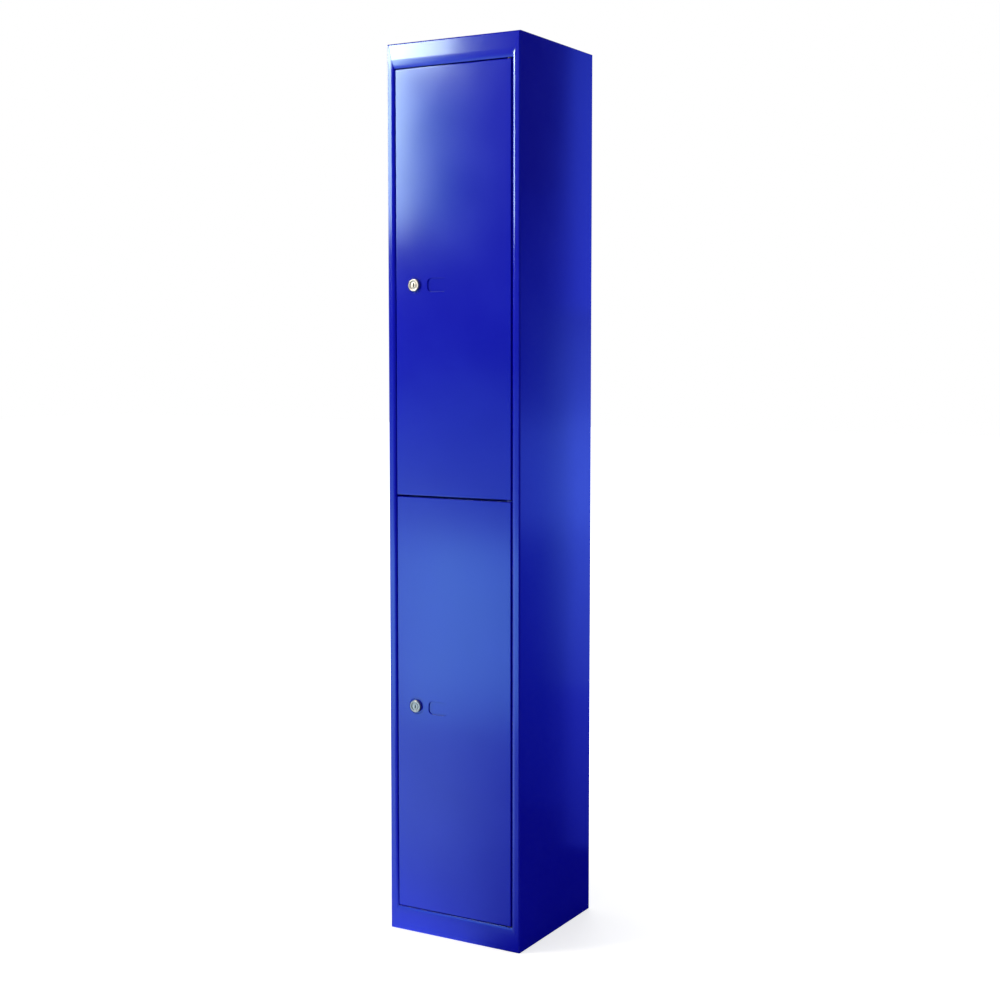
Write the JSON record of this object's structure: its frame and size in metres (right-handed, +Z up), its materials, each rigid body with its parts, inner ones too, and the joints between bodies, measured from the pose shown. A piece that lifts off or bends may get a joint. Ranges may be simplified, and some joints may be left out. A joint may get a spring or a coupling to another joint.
{
  "type": "school locker",
  "caption": "Tall two-tier steel school locker in blue powder coat, with inset doors on concealed pivots, round cam locks and pressed label recesses.",
  "frame": {"origin": "middle of the footprint, on the floor", "axes": "+Z up, front towards -Y, +X to the right seen from the front"},
  "size_m": [0.305, 0.3096, 1.802],
  "materials": {
    "paint": "semi-gloss blue powder coat",
    "nickel": "bright nickel plate",
    "zinc": "zinc plate",
    "nylon": "black nylon",
    "rubber": "matt black rubber"
  },
  "bodies": {
    "cabinet": {"front_frame": "paint", "left_side_panel": "paint", "right_side_panel": "paint", "top_panel": "paint", "base_tray": "paint", "back_panel": "paint", "tier_shelf": "paint", "top_pivot_pin": "zinc", "bottom_pivot_pin": "zinc", "centre_pivot_bracket": "paint", "upper_coat_hook": "zinc", "upper_buffer_top": "rubber", "upper_buffer_bottom": "rubber", "lower_coat_hook": "zinc", "lower_buffer_top": "rubber", "lower_buffer_bottom": "rubber"},
    "upper_door_leaf": {"upper_door": "paint", "upper_door_stiffener": "paint", "upper_bush_top": "nylon", "upper_bush_bottom": "nylon", "upper_lock_housing": "nickel", "upper_lock_nut": "zinc"},
    "upper_lock_core": {"upper_lock_plug": "nickel", "upper_lock_cam": "zinc", "upper_cam_screw": "zinc"},
    "lower_door_leaf": {"lower_door": "paint", "lower_door_stiffener": "paint", "lower_bush_top": "nylon", "lower_bush_bottom": "nylon", "lower_lock_housing": "nickel", "lower_lock_nut": "zinc"},
    "lower_lock_core": {"lower_lock_plug": "nickel", "lower_lock_cam": "zinc", "lower_cam_screw": "zinc"}
  },
  "joints": [
    {"name": "upper_door_swing", "type": "hinge", "parent": "cabinet", "child": "upper_door_leaf", "pos_m": [0.127, -0.14375, 1.32675], "axis": [0, 0, 1], "range_deg": [0, 110]},
    {"name": "lower_door_swing", "type": "hinge", "parent": "cabinet", "child": "lower_door_leaf", "pos_m": [0.127, -0.14375, 0.47525], "axis": [0, 0, 1], "range_deg": [0, 110]},
    {"name": "upper_lock_turn", "type": "hinge", "parent": "upper_door_leaf", "child": "upper_lock_core", "pos_m": [-0.0885, -0.14975, 1.32375], "axis": [0, 1, 0], "range_deg": [0, 90]},
    {"name": "lower_lock_turn", "type": "hinge", "parent": "lower_door_leaf", "child": "lower_lock_core", "pos_m": [-0.0885, -0.14975, 0.47225], "axis": [0, 1, 0], "range_deg": [0, 90]}
  ]
}
